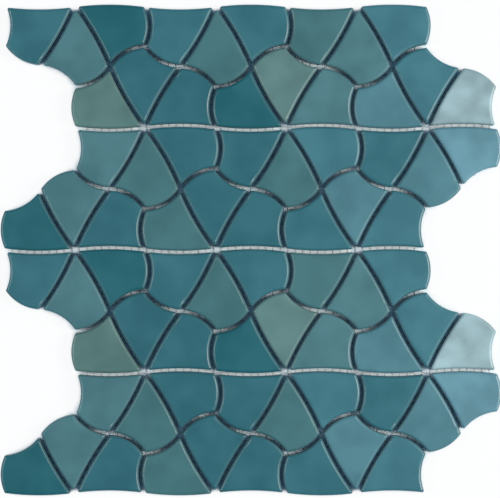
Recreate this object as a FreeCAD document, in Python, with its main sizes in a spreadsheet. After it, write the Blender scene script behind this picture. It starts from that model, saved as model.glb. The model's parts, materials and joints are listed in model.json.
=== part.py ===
import FreeCAD
import Part
import Sketcher
import math
import os

# A sheet of curved kite tiles on a glass fibre net. Lengths are in millimetres.
# X runs along the rows of tiles, Y across them, and the glazed faces look up along +Z.
# Six kites meet at each flower's centre, and three at each centre of a triangle of flowers.
# Every joint line between two flowers is one S made of two equal arcs, so all the tiles are alike:
# one tile is modelled, and the others are its clones.
# The sheet is a block of four rows laid twice: rows a to d, and below them rows e to h.
# The origin is at the middle of the sheet, on the underside of the net.

# Driving dimensions, as name, value and what it is
SIZES = [
    ("flower_pitch", "85", "from one flower's centre to the next"),
    ("long_bow", "1.46", "how far a tile's long edge bows off its chord"),
    ("short_bow", "2.9", "how far a tile's short edge bows off its chord"),
    ("joint_width", "2", "gap between two tiles, at their walls"),
    ("tile_thickness", "7.5", "back of a tile to its glazed face"),
    ("corner_radius", "1", "corner of a tile, seen from above"),
    ("arris_radius", "1.8", "rounded edge round the glazed face"),
    ("back_bevel", "0.4", "bevel round a tile's back"),
    ("key_start", "18", "from a tile's flower centre to the first keying groove of its back"),
    ("key_pitch", "6", "from one keying groove to the next"),
    ("key_width", "1.6", "width of a keying groove"),
    ("key_depth", "0.6", "depth of a keying groove"),
    ("key_margin", "4", "least room from the last keying groove to the tile's far corner"),
    ("yarn_pitch", "4.5", "from one yarn of the net to the next"),
    ("yarn_width", "0.7", "width of a yarn"),
    ("yarn_height", "0.25", "height of a yarn"),
    ("net_margin", "4", "from the sheet's joint line in to the net's cut edge"),
]

# A tile's corners from its flower's centre, in pitches across and rows up
TILE_CORNERS = [
    ("flower", 0, 0),
    ("long_middle", 1 / 2, 0),
    ("triangle", 1 / 2, 1 / 3),
    ("far_middle", 1 / 4, 1 / 2),
]
# The edge that leaves each corner: name, which way it bows (-1 in, 1 out), by which dimension,
# and how many times a quarter of its chord squared goes into the flower pitch squared
TILE_EDGES = [
    ("long_in", -1, "long_bow", 16),
    ("short_in", -1, "short_bow", 48),
    ("short_out", 1, "short_bow", 48),
    ("long_out", 1, "long_bow", 16),
]
ROW_IN_PITCHES = "sin(60)"

# A block's rows from the top down: the flowers' height in rows from the block's middle, the first
# flower's place in pitches, and the petals in order from the left, in sixths of a turn from +X
BLOCK_ROWS = [
    (1, -1.25, (3, 4, 5)),
    (0, -0.75, (2, 1, 0)),
    (0, -0.75, (3, 4, 5)),
    (-1, -1.25, (2, 1, 0)),
]
ROW_LETTERS = ["abcd", "efgh"]
BLOCK_MIDDLES = [1, -1]
FLOWERS_IN_ROW = 3
PETALS_IN_FLOWER = 6

# The left side of a block's joint line, from the bottom up, in pitches across and rows up
BLOCK_LEFT_SIDE = [
    (-1.75, -2 / 3),
    (-1.5, -1 / 2),
    (-1.25, -1 / 3),
    (-1.25, 1 / 3),
    (-1.5, 1 / 2),
    (-1.75, 2 / 3),
]
SHEET_CORNER = (-1.75, 2)

# Where a sketch point is on an arc, and what stands for the sketch's own origin and X axis
ARC_START, ARC_END, ARC_CENTRE = range(1, 4)
SKETCH_ORIGIN = (-1, 1)
SKETCH_X_AXIS = -1

# A tile's long axis leaves its flower's centre half a petal round from the tile's first edge, and
# ends at the corner "triangle". The keying grooves lie across it.
LONG_AXIS_ANGLE = 360 / PETALS_IN_FLOWER / 2

doc = FreeCAD.newDocument("mosaic_sheet")


def make_sizes():
    """Writes the driving dimensions into a spreadsheet, each with its alias."""
    sheet = doc.addObject("Spreadsheet::Sheet", "sizes")
    for line, (name, value, meaning) in enumerate(SIZES, start=1):
        sheet.set(f"A{line}", meaning)
        sheet.set(f"B{line}", value)
        sheet.setAlias(f"B{line}", name)
    doc.recompute()
    return sheet


def size(name):
    """The present value of a driving dimension."""
    return float(getattr(sizes, name))


def place(across, up):
    """A point of the flat pattern, from pitches across and rows up."""
    row = size("flower_pitch") * math.sin(math.radians(60))
    return FreeCAD.Vector(across * size("flower_pitch"), up * row, 0)


def across_formula(across):
    return f"sizes.flower_pitch * {across}"


def up_formula(up):
    return f"sizes.flower_pitch * {ROW_IN_PITCHES} * {up}"


def bowed_arc(start, end, bow):
    """An arc from start to end, and which of its ends they are. A bow above 0 is to the right."""
    chord = end - start
    radius = (chord.Length**2 / 4 + bow**2) / (2 * abs(bow))
    left = FreeCAD.Vector(-chord.y, chord.x, 0).normalize()
    centre = (start + end) * 0.5 + left * math.copysign(radius - abs(bow), bow)
    first, last = (start, end) if bow > 0 else (end, start)
    angles = [math.atan2((p - centre).y, (p - centre).x) for p in (first, last)]
    circle = Part.Circle(centre, FreeCAD.Vector(0, 0, 1), radius)
    ends = (ARC_START, ARC_END) if bow > 0 else (ARC_END, ARC_START)
    return Part.ArcOfCircle(circle, *angles), ends


def bound(sketch, kind, *where, value, name, formula):
    """Adds a constraint whose value follows a formula of the driving dimensions."""
    index = sketch.addConstraint(Sketcher.Constraint(kind, *where, value))
    sketch.renameConstraint(index, name)
    sketch.setExpression(f"Constraints.{name}", formula)


def hold_corner(sketch, here, name, across, up):
    """Holds a point of a sketch at its place in the pattern."""
    spot = place(across, up)
    x_formula, y_formula = across_formula(across), up_formula(up)
    bound(sketch, "DistanceX", *SKETCH_ORIGIN, *here, value=spot.x, name=f"{name}_x", formula=x_formula)
    if up == 0:
        sketch.addConstraint(Sketcher.Constraint("PointOnObject", *here, SKETCH_X_AXIS))
        return
    bound(sketch, "DistanceY", *SKETCH_ORIGIN, *here, value=spot.y, name=f"{name}_y", formula=y_formula)


def draw_tile(sketch):
    """Draws a tile's outline, half a joint inside the kite of joint lines that it fills."""
    count = len(TILE_EDGES)
    places = [place(across, up) for _, across, up in TILE_CORNERS]
    ends = []
    for number, (_, side, bow, _) in enumerate(TILE_EDGES):
        start, end = places[number], places[(number + 1) % count]
        arc, arc_ends = bowed_arc(start, end, side * size(bow))
        sketch.addGeometry(arc, True)
        ends.append(arc_ends)
    half_joint = size("joint_width") / 2
    for number, (_, side, _, _) in enumerate(TILE_EDGES):
        joint_arc = sketch.Geometry[number]
        radius = joint_arc.Radius - side * half_joint
        circle = Part.Circle(joint_arc.Center, FreeCAD.Vector(0, 0, 1), radius)
        wall_arc = Part.ArcOfCircle(circle, joint_arc.FirstParameter, joint_arc.LastParameter)
        sketch.addGeometry(wall_arc, False)

    for number, (name, side, bow, share) in enumerate(TILE_EDGES):
        following = (number + 1) % count
        wall = count + number
        for first in (0, count):
            here = (first + number, ends[number][1])
            there = (first + following, ends[following][0])
            sketch.addConstraint(Sketcher.Constraint("Coincident", *here, *there))
        centres = (number, ARC_CENTRE, wall, ARC_CENTRE)
        sketch.addConstraint(Sketcher.Constraint("Coincident", *centres))
        radius = sketch.Geometry[number].Radius
        formula = f"(sizes.flower_pitch^2 / {share} + sizes.{bow}^2) / (2 * sizes.{bow})"
        bound(sketch, "Radius", number, value=radius, name=name, formula=formula)
        wall_radius = radius - side * half_joint
        wall_formula = f"{formula} - {side} * sizes.joint_width / 2"
        bound(sketch, "Radius", wall, value=wall_radius, name=f"{name}_wall", formula=wall_formula)
    for number, (name, across, up) in enumerate(TILE_CORNERS):
        here = (number, ends[number][0])
        if number == 0:
            sketch.addConstraint(Sketcher.Constraint("Coincident", *here, *SKETCH_ORIGIN))
        else:
            hold_corner(sketch, here, name, across, up)


def upright_edges(shape):
    """Names of the edges that stand along Z."""
    names = []
    for number, edge in enumerate(shape.Edges, start=1):
        way = edge.Vertexes[-1].Point - edge.Vertexes[0].Point
        if math.hypot(way.x, way.y) < 1e-6 < abs(way.z):
            names.append(f"Edge{number}")
    return names


def level_face(shape, highest):
    """Name of the flat face that is highest, or lowest."""
    heights = [face.CenterOfMass.z for face in shape.Faces]
    wanted = max(heights) if highest else min(heights)
    return f"Face{heights.index(wanted) + 1}"


def draw_key(sketch):
    """Draws the first keying groove, a strip across the tile that is longer than it is wide."""
    middle, half_width = size("key_start"), size("key_width") / 2
    half_length = size("flower_pitch") / 2
    left, right = middle - half_width, middle + half_width
    ring = [(left, -half_length), (right, -half_length), (right, half_length), (left, half_length)]
    points = [FreeCAD.Vector(x, y, 0) for x, y in ring]
    for number, start in enumerate(points):
        following = (number + 1) % len(points)
        sketch.addGeometry(Part.LineSegment(start, points[following]), False)
    for number in range(len(points)):
        following = (number + 1) % len(points)
        ends = (number, ARC_END, following, ARC_START)
        sketch.addConstraint(Sketcher.Constraint("Coincident", *ends))
        level = number % 2 == 0
        sketch.addConstraint(Sketcher.Constraint("Horizontal" if level else "Vertical", number))
    corner, width_end, length_end = (0, ARC_START), (0, ARC_END), (3, ARC_START)
    from_origin, from_corner = (*SKETCH_ORIGIN, *corner), (*corner, *width_end)
    formula = "sizes.key_start - sizes.key_width / 2"
    bound(sketch, "DistanceX", *from_origin, value=left, name="left", formula=formula)
    bound(sketch, "DistanceX", *from_corner, value=2 * half_width, name="wide", formula="sizes.key_width")
    formula = "-sizes.flower_pitch / 2"
    bound(sketch, "DistanceY", *from_origin, value=-half_length, name="low", formula=formula)
    from_corner = (*corner, *length_end)
    formula = "sizes.flower_pitch"
    bound(sketch, "DistanceY", *from_corner, value=2 * half_length, name="long", formula=formula)


def count_keys():
    """How many keying grooves there is room for."""
    _, across, up = TILE_CORNERS[2]
    room = place(across, up).Length - size("key_start") - size("key_margin")
    return math.floor(room / size("key_pitch")) + 1


def make_pattern_tile():
    """The one tile: its outline padded, corners and arris rounded, back bevelled and keyed."""
    body = doc.addObject("PartDesign::Body", "tile_pattern")
    plane = next(f for f in body.Origin.OriginFeatures if f.Role == "XY_Plane")
    outline = body.newObject("Sketcher::SketchObject", "tile_outline")
    outline.AttachmentSupport = (plane, [""])
    outline.MapMode = "FlatFace"
    draw_tile(outline)
    pad = body.newObject("PartDesign::Pad", "tile_slab")
    pad.Profile = outline
    pad.setExpression("Length", "sizes.tile_thickness")
    doc.recompute()
    corners = body.newObject("PartDesign::Fillet", "tile_corners")
    corners.Base = (pad, upright_edges(pad.Shape))
    corners.setExpression("Radius", "sizes.corner_radius")
    doc.recompute()
    bevel = body.newObject("PartDesign::Chamfer", "tile_bevel")
    bevel.Base = (corners, [level_face(corners.Shape, highest=False)])
    bevel.setExpression("Size", "sizes.back_bevel")
    doc.recompute()
    arris = body.newObject("PartDesign::Fillet", "tile_arris")
    arris.Base = (bevel, [level_face(bevel.Shape, highest=True)])
    arris.setExpression("Radius", "sizes.arris_radius")
    doc.recompute()
    groove = body.newObject("Sketcher::SketchObject", "tile_groove")
    groove.AttachmentSupport = (plane, [""])
    groove.MapMode = "FlatFace"
    turn = FreeCAD.Rotation(FreeCAD.Vector(0, 0, 1), LONG_AXIS_ANGLE)
    groove.AttachmentOffset = FreeCAD.Placement(FreeCAD.Vector(0, 0, 0), turn)
    draw_key(groove)
    key = body.newObject("PartDesign::Pocket", "tile_key")
    key.Profile = groove
    key.Reversed = True
    key.setExpression("Length", "sizes.key_depth")
    doc.recompute()
    if key.Shape.Volume >= arris.Shape.Volume:
        raise RuntimeError("the keying groove cuts nothing")
    count = count_keys()
    keys = body.newObject("PartDesign::LinearPattern", "tile_keys")
    keys.Originals = [key]
    keys.Direction = (groove, ["H_Axis"])
    keys.Occurrences = count
    keys.setExpression("Length", f"sizes.key_pitch * {count - 1}")
    body.Tip = keys
    doc.recompute()
    return body


def lay_tile(name, pattern, across, up, petal):
    """A clone of the one tile, turned to its petal of the flower and laid in its place on the net."""
    body = doc.addObject("PartDesign::Body", name)
    clone = doc.addObject("PartDesign::FeatureBase", f"{name}_clone")
    body.Group = [clone]
    clone.BaseFeature = pattern
    body.Tip = clone
    turn = FreeCAD.Rotation(FreeCAD.Vector(0, 0, 1), petal * 360 / PETALS_IN_FLOWER)
    body.Placement = FreeCAD.Placement(FreeCAD.Vector(0, 0, 0), turn)
    body.setExpression("Placement.Base.x", across_formula(across))
    body.setExpression("Placement.Base.y", up_formula(up))
    body.setExpression("Placement.Base.z", "2 * sizes.yarn_height")
    return body


def make_tiles():
    """All the tiles, numbered from the left in each row. A tile and its like below share a node."""
    pattern = make_pattern_tile()
    pairs = []
    for row, (up, first, petals) in enumerate(BLOCK_ROWS):
        number = 0
        for flower in range(FLOWERS_IN_ROW):
            for petal in petals:
                number += 1
                names = [f"{letters[row]}{number}" for letters in ROW_LETTERS]
                pair = doc.addObject("Part::Compound", f"tiles_{names[0]}_{names[1]}")
                pair.Label = f"tiles_{names[0]}_{names[1]}"
                pair.Links = [
                    lay_tile(name, pattern, first + flower, middle + up, petal)
                    for name, middle in zip(names, BLOCK_MIDDLES)
                ]
                pairs.append(pair)
    return pairs


def sheet_corners():
    """Corners of the sheet's joint line, up its left side and down its right."""
    across, up = SHEET_CORNER
    left = [(across, -up)]
    for middle in reversed(BLOCK_MIDDLES):
        left += [(x, middle + y) for x, y in BLOCK_LEFT_SIDE]
    left.append((across, up))
    return left + [(x + FLOWERS_IN_ROW, y) for x, y in reversed(left)]


def make_net_prism():
    """A prism over the net's cut outline, a margin inside the sheet's joint line."""
    outline = doc.addObject("Sketcher::SketchObject", "sheet_edge")
    corners = sheet_corners()
    for number, start in enumerate(corners):
        end = corners[(number + 1) % len(corners)]
        outline.addGeometry(Part.LineSegment(place(*start), place(*end)), False)
    for number, (across, up) in enumerate(corners):
        following = (number + 1) % len(corners)
        ends = (number, ARC_END, following, ARC_START)
        outline.addConstraint(Sketcher.Constraint("Coincident", *ends))
        hold_corner(outline, (number, ARC_START), f"corner_{number}", across, up)
    cut_line = doc.addObject("Part::Offset2D", "net_cut_line")
    cut_line.Source = outline
    cut_line.Join = "Intersection"
    cut_line.setExpression("Value", "-sizes.net_margin")
    prism = doc.addObject("Part::Extrusion", "net_prism")
    prism.Base = cut_line
    prism.Dir = FreeCAD.Vector(0, 0, 1)
    prism.Solid = True
    prism.setExpression("LengthFwd", "2 * sizes.yarn_height")
    return prism


def make_yarns(label, prism, along_y):
    """The net's parallel yarns in one direction, cut off at the net's outline."""
    half_across = (FLOWERS_IN_ROW + 1 / 2) / 2
    half_up = SHEET_CORNER[1]
    edge = place(half_across, half_up)
    if along_y:
        reach, half = edge.x, up_formula(half_up)
        across, along, width, length = "x", "y", "Length", "Width"
        # A yarn lies on the middle line, and the others are whole pitches from it
        first_place = 0
    else:
        reach, half = edge.y, across_formula(half_across)
        across, along, width, length = "y", "x", "Width", "Length"
        # The middle line lies between two yarns
        first_place = 1 / 2
    last = math.floor((reach - size("net_margin")) / size("yarn_pitch") - first_place)
    right_side = [first_place + number for number in range(last + 1)]
    strips = []
    for pitches in sorted({-p for p in right_side} | set(right_side)):
        strip = doc.addObject("Part::Box", f"{label}_strip")
        strip.setExpression(width, "sizes.yarn_width")
        strip.setExpression(length, f"2 * {half}")
        strip.setExpression("Height", "sizes.yarn_height")
        middle = f"sizes.yarn_pitch * {pitches}"
        strip.setExpression(f"Placement.Base.{across}", f"{middle} - sizes.yarn_width / 2")
        strip.setExpression(f"Placement.Base.{along}", f"-{half}")
        if not along_y:
            strip.setExpression("Placement.Base.z", "sizes.yarn_height")
        strips.append(strip)
    bundle = doc.addObject("Part::Compound", f"{label}_strips")
    bundle.Links = strips
    yarns = doc.addObject("Part::Common", label)
    yarns.Label = label
    yarns.Base = bundle
    yarns.Tool = prism
    return yarns


def check_and_write(pieces):
    """Stops on any failed object or bad solid, and writes each piece to its own STEP file."""
    doc.recompute()
    failed = [o.Name for o in doc.Objects if {"Invalid", "Error"} & set(o.State)]
    if failed:
        raise RuntimeError(f"these objects failed: {failed}")
    os.makedirs("parts", exist_ok=True)
    for piece in pieces:
        if piece.Shape.isNull() or not piece.Shape.isValid():
            raise RuntimeError(f"{piece.Label} has no valid shape")
        piece.Shape.exportStep(f"parts/{piece.Label}.step")


sizes = make_sizes()
tiles = make_tiles()
prism = make_net_prism()
net = [
    make_yarns("net_warp", prism, along_y=True),
    make_yarns("net_weft", prism, along_y=False),
]
check_and_write(tiles + net)
for kind, pieces in (("tiles", tiles), ("yarns", net)):
    print(sum(len(piece.Shape.Solids) for piece in pieces), kind)
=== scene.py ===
import json
import math

import bmesh
import bpy
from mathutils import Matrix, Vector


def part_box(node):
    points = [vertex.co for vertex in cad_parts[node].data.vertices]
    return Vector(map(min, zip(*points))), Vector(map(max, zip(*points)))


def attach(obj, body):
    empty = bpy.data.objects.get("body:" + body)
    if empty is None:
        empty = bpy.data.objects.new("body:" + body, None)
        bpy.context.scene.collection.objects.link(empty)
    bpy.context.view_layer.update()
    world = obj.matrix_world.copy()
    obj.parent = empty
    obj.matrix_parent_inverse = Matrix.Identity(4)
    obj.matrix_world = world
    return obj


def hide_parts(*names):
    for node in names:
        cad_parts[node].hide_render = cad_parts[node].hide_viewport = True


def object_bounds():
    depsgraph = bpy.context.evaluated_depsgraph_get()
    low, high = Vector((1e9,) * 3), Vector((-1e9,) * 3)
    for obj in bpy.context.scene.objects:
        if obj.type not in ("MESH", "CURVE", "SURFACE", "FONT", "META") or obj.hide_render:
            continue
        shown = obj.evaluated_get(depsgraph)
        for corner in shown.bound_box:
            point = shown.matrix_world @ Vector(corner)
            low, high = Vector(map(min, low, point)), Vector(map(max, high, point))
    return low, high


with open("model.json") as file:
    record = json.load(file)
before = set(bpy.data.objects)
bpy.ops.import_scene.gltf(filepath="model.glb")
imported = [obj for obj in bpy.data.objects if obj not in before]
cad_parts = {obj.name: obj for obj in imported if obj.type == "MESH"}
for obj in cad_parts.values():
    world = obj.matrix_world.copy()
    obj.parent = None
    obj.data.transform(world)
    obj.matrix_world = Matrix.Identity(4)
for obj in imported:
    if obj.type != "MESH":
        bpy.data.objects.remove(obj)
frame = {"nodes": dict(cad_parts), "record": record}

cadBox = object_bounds()
print("frame loaded:", len(frame["nodes"]), "nodes")

millimetre = 0.001
hair = 0.01 * millimetre            # places closer than this are one place


# an sRGB hex colour as the linear one that Blender's sockets take
def toLinear(hexColour):
    parts = [int(hexColour[i:i + 2], 16) / 255 for i in (1, 3, 5)]
    parts = [p / 12.92 if p <= 0.04045 else ((p + 0.055) / 1.055) ** 2.4 for p in parts]
    return (*parts, 1.0)


def scaled(colour, share):
    return (*[part * share for part in colour[:3]], 1.0)


# a Mix node's sockets go by number: 0 is the share, 2 and 3 are numbers, 6 and 7 colours,
# and its outputs are 0 for a number and 2 for a colour
def addNode(tree, kind, settings=None, links=None):
    node = tree.nodes.new("ShaderNode" + kind)
    for name, value in (settings or {}).items():
        if isinstance(name, int) or name in node.inputs:
            node.inputs[name].default_value = value
        else:
            setattr(node, name, value)
    for name, source in (links or {}).items():
        tree.links.new(source, node.inputs[name])
    return node


def newMaterial(name):
    material = bpy.data.materials.new(name)
    material.use_nodes = True
    material.node_tree.nodes.clear()
    return material, material.node_tree


# what a user would change about the tiles
tiles = {
    "shades": {                     # one glaze for each of the record's slots
        "glaze_deep_teal": "#105C64",
        "glaze_teal": "#26636C",
        "glaze_lagoon": "#2C6871",
        "glaze_verdigris": "#3D6C6F",
        "glaze_harbour": "#39717B",
        "glaze_slate": "#477479",
        "glaze_sky": "#4A7A83",
        "glaze_sage": "#557771",
        "glaze_pale_sage": "#5A7C78",
        "glaze_pale_sky": "#5F8C98",
        "glaze_mist": "#95AEB1",
    },
    "cloudSize": 20 * millimetre,   # broad drifts of thicker and thinner glaze
    "mottleSize": 7 * millimetre,   # smaller ones within them
    "mottleShare": 0.2,
    "driftEnds": (0.36, 0.64),      # the noise's values at the darkest and the palest glaze
    "driftDepth": (0.06, 0.9),      # how far every shade drifts, and how much more the paler ones do
    "driftUp": 1.15,                # drifts go up by so much more than down
    "roughness": (0.38, 0.46),      # at the drift's two ends
    "ior": 1.62,                    # a fired glaze
    "rippleSize": 5 * millimetre,   # slow waves of the fired surface
    "rippleHeight": 0.03 * millimetre,
    "peelSize": 1.1 * millimetre,   # orange peel, drawn coarser than real so that it shows
    "peelHeight": 0.006 * millimetre,
    "arris": 1.8 * millimetre,      # radius of the rounded edge of the face
    "thinGlazeAndLiftRise": (0.15, 0.7),        # depths below the face, in radii, between which the glaze thins and painted light lifts the shade
    "thinGlazeAndLiftEase": (0.9, 1.7),       # and between which it thickens a little again and the painted lift eases
    "thinGlazeAndLiftShares": (0.6, 0.35),        # how pale it gets over the arris, and down the wall
    "paleKeeps": 0.6,               # where it is pale, so much of the glaze colour is left
    "paleAdds": 0.14,               # and so much white is added: clay through the thin glaze, and painted light on the shaded arris and wall
    "gloss": (0.1, 0.5),            # low on the wall, where the glaze is dry, and on the face
    "glossDepths": (1.4, 1.0),      # the depths, in radii, of these two
    "glazeEnds": 1.35 * millimetre,  # the glaze stops so high on the wall, clear of the keying grooves
    "glazeWander": 0.15 * millimetre,  # and how far its edge strays up and down
    "wanderEnds": (0.3, 0.7),       # the noise's values at the edge's lowest and highest
    "glazeFade": 1.08,              # the edge is soft up to so many times its height
    "clay": "#CBC4B8",
    "clayDark": 0.8,                # its darkest grain, as a share of that
    "clayGrain": 0.6 * millimetre,
    "clayRelief": 0.06 * millimetre,
}


# satin glaze on a pressed clay body: soft gloss, drifting shade, paler at the arris, where the glaze thins
# and painted light lifts the shade, and bare buff clay below the glaze's edge and on the back
def satinGlaze(name, shade, faceHeight):
    material, tree = newMaterial(name)
    base = toLinear(shade)
    place = addNode(tree, "TexCoord").outputs["Object"]
    height = addNode(tree, "SeparateXYZ", links={0: place}).outputs["Z"]
    cloud = addNode(tree, "TexNoise", {"Scale": 1 / tiles["cloudSize"], "Detail": 1.0}, {"Vector": place})
    mottle = addNode(tree, "TexNoise", {"Scale": 1 / tiles["mottleSize"], "Detail": 3.0,
                     "Roughness": 0.55}, {"Vector": place})
    drift = addNode(tree, "Mix", {"data_type": "FLOAT", 0: tiles["mottleShare"]},
                    {2: cloud.outputs[0], 3: mottle.outputs[0]}).outputs[0]
    darkest, palest = tiles["driftEnds"]
    tone = addNode(tree, "MapRange", {"From Min": darkest, "From Max": palest}, {"Value": drift}).outputs[0]
    least, more = tiles["driftDepth"]
    swing = least + more * base[1] ** 2                 # its green tells how pale a glaze is
    body = addNode(tree, "Mix", {"data_type": "RGBA", 6: scaled(base, 1 - swing),
                   7: scaled(base, 1 + tiles["driftUp"] * swing)}, {0: tone}).outputs[2]
    # the glaze thins over the arris, so that clay shows through, and a little less down the wall; the
    # paling is also painted light, which lifts the shade of the arris and wall beside the joints
    arris = tiles["arris"]
    begins, thinnestAndMostLifted = [faceHeight - depth * arris for depth in tiles["thinGlazeAndLiftRise"]]
    turns, liftEasedAt = [faceHeight - depth * arris for depth in tiles["thinGlazeAndLiftEase"]]
    onArris, onWall = tiles["thinGlazeAndLiftShares"]
    over = addNode(tree, "MapRange", {"interpolation_type": "SMOOTHSTEP", "From Min": begins,
                   "From Max": thinnestAndMostLifted, "To Max": onArris}, {"Value": height}).outputs[0]
    down = addNode(tree, "MapRange", {"interpolation_type": "SMOOTHSTEP", "From Min": turns,
                   "From Max": liftEasedAt, "To Min": onArris, "To Max": onWall}, {"Value": height}).outputs[0]
    thinGlazeAndLift = addNode(tree, "Math", {"operation": "MINIMUM"}, {0: over, 1: down}).outputs[0]
    pale = (*[tiles["paleKeeps"] * part + tiles["paleAdds"] for part in base[:3]], 1.0)
    coloured = addNode(tree, "Mix", {"data_type": "RGBA", 7: pale}, {0: thinGlazeAndLift, 6: body}).outputs[2]
    # and ends on the wall in an uneven line
    lowest, highest = tiles["wanderEnds"]
    line = addNode(tree, "MapRange", {"From Min": lowest, "From Max": highest,
                   "To Min": -tiles["glazeWander"], "To Max": tiles["glazeWander"]},
                   {"Value": mottle.outputs[0]}).outputs[0]
    lifted = addNode(tree, "Math", {"operation": "ADD"}, {0: height, 1: line}).outputs[0]
    glazed = addNode(tree, "MapRange", {"From Min": tiles["glazeEnds"],
                     "From Max": tiles["glazeFade"] * tiles["glazeEnds"]}, {"Value": lifted}).outputs[0]
    # slow waves, and a fine skin on them
    ripple = addNode(tree, "TexNoise", {"Scale": 1 / tiles["rippleSize"], "Detail": 1.0}, {"Vector": place})
    peel = addNode(tree, "TexNoise", {"Scale": 1 / tiles["peelSize"], "Detail": 2.0}, {"Vector": place})
    waves = addNode(tree, "Bump", {"Strength": 1.0, "Distance": tiles["rippleHeight"]},
                    {"Height": ripple.outputs[0]}).outputs[0]
    skin = addNode(tree, "Bump", {"Strength": 1.0, "Distance": tiles["peelHeight"]},
                   {"Height": peel.outputs[0], "Normal": waves}).outputs[0]
    smoother, rougher = tiles["roughness"]
    dull = addNode(tree, "MapRange", {"From Min": darkest, "From Max": palest, "To Min": smoother,
                   "To Max": rougher}, {"Value": drift}).outputs[0]
    dry, glossy = tiles["gloss"]
    low, high = [faceHeight - depth * arris for depth in tiles["glossDepths"]]
    gloss = addNode(tree, "MapRange", {"From Min": low, "From Max": high, "To Min": dry, "To Max": glossy},
                    {"Value": height}).outputs[0]
    glaze = addNode(tree, "BsdfPrincipled", {"IOR": tiles["ior"]},
                    {"Base Color": coloured, "Roughness": dull, "Specular IOR Level": gloss,
                     "Normal": skin}).outputs[0]
    grain = addNode(tree, "TexNoise", {"Scale": 1 / tiles["clayGrain"], "Detail": 4.0}, {"Vector": place})
    bare = toLinear(tiles["clay"])
    clayTone = addNode(tree, "Mix", {"data_type": "RGBA", 6: scaled(bare, tiles["clayDark"]), 7: bare},
                       {0: grain.outputs[0]}).outputs[2]
    rough = addNode(tree, "Bump", {"Strength": 1.0, "Distance": tiles["clayRelief"]},
                    {"Height": grain.outputs[0]}).outputs[0]
    clay = addNode(tree, "BsdfPrincipled", {"Roughness": 0.9, "IOR": 1.5},
                   {"Base Color": clayTone, "Normal": rough}).outputs[0]
    both = addNode(tree, "MixShader", links={0: glazed, 1: clay, 2: glaze}).outputs[0]
    addNode(tree, "OutputMaterial", links={"Surface": both})
    return material


def glazeTiles():
    slots = {part["node"]: part["material_slot"] for part in frame["record"]["subparts"]}
    faceHeight = cadBox[1].z
    made = {slot: satinGlaze(slot.replace("glaze_", "satin_glaze_"), shade, faceHeight)
            for slot, shade in tiles["shades"].items()}
    for name, node in frame["nodes"].items():
        if name.startswith("tiles_"):
            node.data.materials.clear()
            node.data.materials.append(made[slots[name]])
    print("tiles glazed:", len(made), "shades")


# the net: yarns woven over and under each other
net = {
    # off-white, with a cool tint of painted light, as if bounced off the teal walls in the joints
    "yarn": "#E4ECF0",
    "yarnDark": 0.8,                # its darkest fluff, as a share of that
    "fluffSize": 2.0 * millimetre,
    "roughness": 0.62,              # a matt binder
    "sheen": (0.15, 0.5),           # weight and roughness
    "twistSize": 0.5 * millimetre,  # strands twisted together, drawn coarser than real
    "twistHeight": 0.08 * millimetre,
    "twistLay": 30,                 # degrees that the strands lie off the yarn
    "bandScale": 0.31,              # at this scale a wave texture's bands are one unit apart
    "pitch": 4.5 * millimetre,
    "width": 0.7 * millimetre,
    "sides": 6,
    "cutsInWave": 7,                # rings between the ends of one wave, two pitches long
    "wander": 0.5 * millimetre,     # how far a yarn strays from its straight line
    "wanderSize": 28 * millimetre,
}


# glass fibre yarn in a matt binder: off-white with a cool tint that is painted teal joint light, faintly
# ropy, with a dry sheen
def coatedGlassFibre(name, alongY):
    material, tree = newMaterial(name)
    base = toLinear(net["yarn"])
    place = addNode(tree, "TexCoord").outputs["Object"]
    lay = math.radians(net["twistLay"] if alongY else 90 - net["twistLay"])
    turned = addNode(tree, "Mapping", {"Rotation": (0, 0, lay)}, {"Vector": place}).outputs[0]
    strands = addNode(tree, "TexWave", {"wave_type": "BANDS", "bands_direction": "X",
                      "Scale": net["bandScale"] / net["twistSize"], "Distortion": 1.5, "Detail": 1.0},
                      {"Vector": turned}).outputs[1]
    fluff = addNode(tree, "TexNoise", {"Scale": 1 / net["fluffSize"], "Detail": 3.0}, {"Vector": place})
    tone = addNode(tree, "Mix", {"data_type": "RGBA", 6: scaled(base, net["yarnDark"]), 7: base},
                   {0: fluff.outputs[0]}).outputs[2]
    twist = addNode(tree, "Bump", {"Strength": 1.0, "Distance": net["twistHeight"]},
                    {"Height": strands}).outputs[0]
    sheen, sheenRoughness = net["sheen"]
    yarn = addNode(tree, "BsdfPrincipled", {"Roughness": net["roughness"], "IOR": 1.5,
                   "Sheen Weight": sheen, "Sheen Roughness": sheenRoughness},
                   {"Base Color": tone, "Normal": twist}).outputs[0]
    addNode(tree, "OutputMaterial", links={"Surface": yarn})
    return material


# each yarn of a CAD net node: its place across, and where it starts and ends along its length
def yarnSpans(node, across, along):
    mesh = bmesh.new()
    mesh.from_mesh(node.data)
    bmesh.ops.remove_doubles(mesh, verts=mesh.verts, dist=hair)
    spans = []
    seen = set()
    for start in mesh.verts:
        if start in seen:
            continue
        island, edge = [], [start]
        seen.add(start)
        while edge:
            vertex = edge.pop()
            island.append(vertex.co.copy())
            for link in vertex.link_edges:
                other = link.other_vert(vertex)
                if other not in seen:
                    seen.add(other)
                    edge.append(other)
        places = [co[across] for co in island]
        reach = [co[along] for co in island]
        spans.append(((min(places) + max(places)) / 2, min(reach), max(reach)))
    mesh.free()
    return spans


def selectOnly(piece):
    bpy.ops.object.select_all(action="DESELECT")
    piece.select_set(True)
    bpy.context.view_layer.objects.active = piece


# selects vertices, edges or faces of the active piece by a test, in edit mode
def pick(piece, kind, test):
    bpy.ops.mesh.select_mode(type=kind)
    bpy.ops.mesh.select_all(action="DESELECT")
    mesh = bmesh.from_edit_mesh(piece.data)
    for part in {"VERT": mesh.verts, "EDGE": mesh.edges, "FACE": mesh.faces}[kind]:
        if test(part):
            part.select_set(True)
    bmesh.update_edit_mesh(piece.data)


def applyAll(piece):
    selectOnly(piece)
    for modifier in list(piece.modifiers):
        bpy.ops.object.modifier_apply(modifier=modifier.name)


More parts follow.
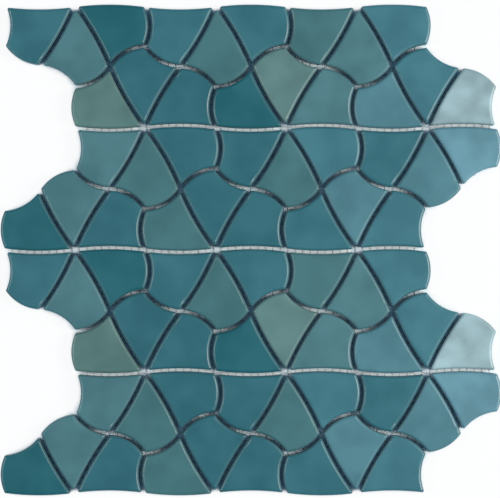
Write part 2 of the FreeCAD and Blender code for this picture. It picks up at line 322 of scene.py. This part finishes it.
# one wave of a yarn, two pitches long: over one crossing yarn and under the next
def yarnWave(name, alongY, startsHigh, thickness):
    pitch = net["pitch"]
    turn = (math.pi / 2, 0, 0) if alongY else (0, math.pi / 2, 0)
    bpy.ops.object.select_all(action="DESELECT")
    bpy.ops.mesh.primitive_cylinder_add(vertices=net["sides"], radius=net["width"] / 2, depth=2 * pitch,
                                        end_fill_type="NOTHING", rotation=turn)
    wave = bpy.context.active_object
    wave.name = name
    bpy.ops.object.transform_apply(location=True, rotation=True, scale=True)
    along = 1 if alongY else 0
    bpy.ops.object.mode_set(mode="EDIT")
    pick(wave, "EDGE", lambda e: abs(e.verts[0].co[along] - e.verts[1].co[along]) > pitch)
    bpy.ops.mesh.subdivide(number_cuts=net["cutsInWave"])
    bpy.ops.mesh.select_all(action="SELECT")
    bpy.ops.transform.resize(value=(1, 1, thickness / net["width"]))
    for ring in range(net["cutsInWave"] + 2):
        at = -pitch + ring * 2 * pitch / (net["cutsInWave"] + 1)
        lift = thickness / 2 * math.cos(math.pi * (at + pitch) / pitch)
        pick(wave, "VERT", lambda v: abs(v.co[along] - at) < hair)
        bpy.ops.transform.translate(value=(0, 0, lift if startsHigh else -lift))
    bpy.ops.object.mode_set(mode="OBJECT")
    return wave


def addArray(piece, count, step, merge):
    array = piece.modifiers.new("repeat", "ARRAY")
    array.count = count
    array.use_relative_offset = False
    array.use_constant_offset = True
    array.constant_offset_displace = step
    array.use_merge_vertices = merge
    array.merge_threshold = 2 * hair


# all the yarns of one direction: two neighbouring waves repeated both ways, cut to the net's outline
def weaveYarns(name, nodeName, alongY):
    bottom, middle = [corner.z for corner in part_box("net_warp")]  # the two layers meet at the middle
    thickness = middle - bottom
    across, along = (0, 1) if alongY else (1, 0)
    pitch = net["pitch"]
    spans = yarnSpans(frame["nodes"][nodeName], across, along)
    first = min(span[0] for span in spans)
    last = max(span[0] for span in spans)
    start = min(span[1] for span in spans)
    end = max(span[2] for span in spans)
    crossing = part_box("net_weft" if alongY else "net_warp")[0][along] + net["width"] / 2
    yarns = round((last - first) / pitch) + 1
    begin = crossing - 2 * pitch * math.ceil((crossing - start) / (2 * pitch))
    waves = math.ceil((end - begin) / (2 * pitch))
    # neighbours wave opposite ways, and so do the two directions, so that yarns cross over and under
    pair = []
    for number in (0, 1):
        wave = yarnWave(f"{name}_{number}", alongY, (number == 0) == alongY, thickness)
        selectOnly(wave)
        place = [0, 0, middle]
        place[across] = first + number * pitch
        place[along] = begin + pitch
        wave.location = place
        bpy.ops.object.transform_apply(location=True, rotation=False, scale=False)
        stepAlong, stepAcross = [0, 0, 0], [0, 0, 0]
        stepAlong[along] = 2 * pitch
        stepAcross[across] = 2 * pitch
        addArray(wave, waves, stepAlong, True)
        addArray(wave, (yarns + 1 - number) // 2, stepAcross, False)
        applyAll(wave)
        pair.append(wave)
    selectOnly(pair[0])
    pair[1].select_set(True)
    bpy.ops.object.join()
    piece = bpy.context.active_object
    piece.name = name

    nearby = {}
    for span in spans:
        nearby.setdefault(round((span[0] - first) / pitch), []).append(span)

    def outside(face):
        spot = face.calc_center_median()
        return not any(abs(spot[across] - place) < pitch / 2 and begins <= spot[along] <= ends
                       for place, begins, ends in nearby.get(round((spot[across] - first) / pitch), []))

    bpy.ops.object.mode_set(mode="EDIT")
    pick(piece, "FACE", outside)
    bpy.ops.mesh.delete(type="FACE")
    bpy.ops.mesh.select_all(action="SELECT")
    bpy.ops.mesh.fill_holes(sides=0)
    bpy.ops.object.mode_set(mode="OBJECT")
    stray = bpy.data.textures.new(name + "_stray", "CLOUDS")
    stray.noise_scale = net["wanderSize"]
    wander = piece.modifiers.new("wander", "DISPLACE")
    wander.texture = stray
    wander.texture_coords = "LOCAL"
    wander.direction = "X" if alongY else "Y"
    wander.strength = net["wander"]
    applyAll(piece)
    bpy.ops.object.shade_smooth()
    piece.data.materials.append(coatedGlassFibre("coated_glass_fibre_" + name, alongY))
    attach(piece, "root")
    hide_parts(nodeName)
    print(name, "woven:", len(piece.data.polygons), "faces")


studio = {
    "floor": "#E8F4FA",             # a cool pale paper, which shows mostly down in the joints and near the tiles, where its tint is painted blue shade
    "floorWidth": 4.0,
    "floorGlow": 0.92,              # how far the clear floor is lifted to white for the camera
    "shadowReach": 10 * millimetre,  # how far from the tiles their contact shadow runs
    "shadowEnds": (0.42, 0.6),      # how open the floor is where the lift begins, and where it is whole
    "shadowSamples": 16,
    "lampAway": 1.1,                # how far out each lamp stands, along X
    "lampHeight": 1.0,
    "lampSize": (0.55, 0.6),        # up and down, and along Y
    "lampWatts": (9.8, 20.6),       # left and right
    "lampColour": "#FFFBF3",        # a little warm, so that it and the cool sky are plain together
    "sky": "#7FBDEB",               # a cool fill, which shows most down in the joints
    "skyLight": 0.34,
}


def layFloor():
    bpy.ops.object.select_all(action="DESELECT")
    bpy.ops.mesh.primitive_plane_add(size=studio["floorWidth"])
    floor = bpy.context.active_object
    floor.name = "studio_floor"
    material, tree = newMaterial("white_studio_paper")
    paper = addNode(tree, "BsdfDiffuse", {"Color": toLinear(studio["floor"])}).outputs[0]
    # matt paper, which the camera sees as white where nothing stands near
    seen = addNode(tree, "LightPath").outputs["Is Camera Ray"]
    openness = addNode(tree, "AmbientOcclusion", {"Distance": studio["shadowReach"],
                       "samples": studio["shadowSamples"]}).outputs["AO"]
    near, far = studio["shadowEnds"]
    clear = addNode(tree, "MapRange", {"From Min": near, "From Max": far, "To Max": studio["floorGlow"]},
                    {"Value": openness}).outputs[0]
    share = addNode(tree, "Math", {"operation": "MULTIPLY"}, {0: seen, 1: clear}).outputs[0]
    white = addNode(tree, "Emission", {"Color": (1, 1, 1, 1), "Strength": 1.0}).outputs[0]
    both = addNode(tree, "MixShader", links={0: share, 1: paper, 2: white}).outputs[0]
    addNode(tree, "OutputMaterial", links={"Surface": both})
    floor.data.materials.append(material)
    print("floor laid")


def hangLamps():
    for name, side, watts in zip(("lamp_left", "lamp_right"), (-1, 1), studio["lampWatts"]):
        lampData = bpy.data.lights.new(name, "AREA")
        lampData.shape = "RECTANGLE"
        lampData.size, lampData.size_y = studio["lampSize"]
        lampData.energy = watts
        lampData.color = toLinear(studio["lampColour"])[:3]
        lamp = bpy.data.objects.new(name, lampData)
        away = side * studio["lampAway"]
        lamp.location = (away, 0, studio["lampHeight"])
        lamp.rotation_euler = (0, math.atan2(away, studio["lampHeight"]), 0)
        bpy.context.scene.collection.objects.link(lamp)
    print("lamps hung")


def setSky():
    world = bpy.data.worlds.new("studio")
    bpy.context.scene.world = world
    world.use_nodes = True
    tree = world.node_tree
    tree.nodes.clear()
    seen = addNode(tree, "LightPath").outputs["Is Camera Ray"]
    soft = addNode(tree, "Background", {"Color": toLinear(studio["sky"]),
                   "Strength": studio["skyLight"]}).outputs[0]
    white = addNode(tree, "Background", {"Color": (1, 1, 1, 1), "Strength": 1.0}).outputs[0]
    both = addNode(tree, "MixShader", links={0: seen, 1: soft, 2: white}).outputs[0]
    addNode(tree, "OutputWorld", links={"Surface": both})
    print("sky set")


camera = {
    "lens": 200.0,                  # long, so that the walls hardly show
    "sensor": 36.0,
    "frameWidth": 300.5 * millimetre,  # what the picture's width takes in
    "middle": (-0.6 * millimetre, 0.6 * millimetre),  # where on the sheet the picture's middle is
}


# straight above, as the photograph was taken
def setCamera():
    lensData = bpy.data.cameras.new("camera")
    lensData.lens = camera["lens"]
    lensData.sensor_width = camera["sensor"]
    lens = bpy.data.objects.new("camera", lensData)
    distance = camera["frameWidth"] * camera["lens"] / camera["sensor"]
    lens.location = (*camera["middle"], cadBox[1].z + distance)
    bpy.context.scene.collection.objects.link(lens)
    bpy.context.scene.camera = lens
    print("camera set")


bpy.context.scene.view_settings.view_transform = "Standard"
glazeTiles()
weaveYarns("warp_yarns", "net_warp", True)
weaveYarns("weft_yarns", "net_weft", False)
layFloor()
hangLamps()
setSky()
setCamera()
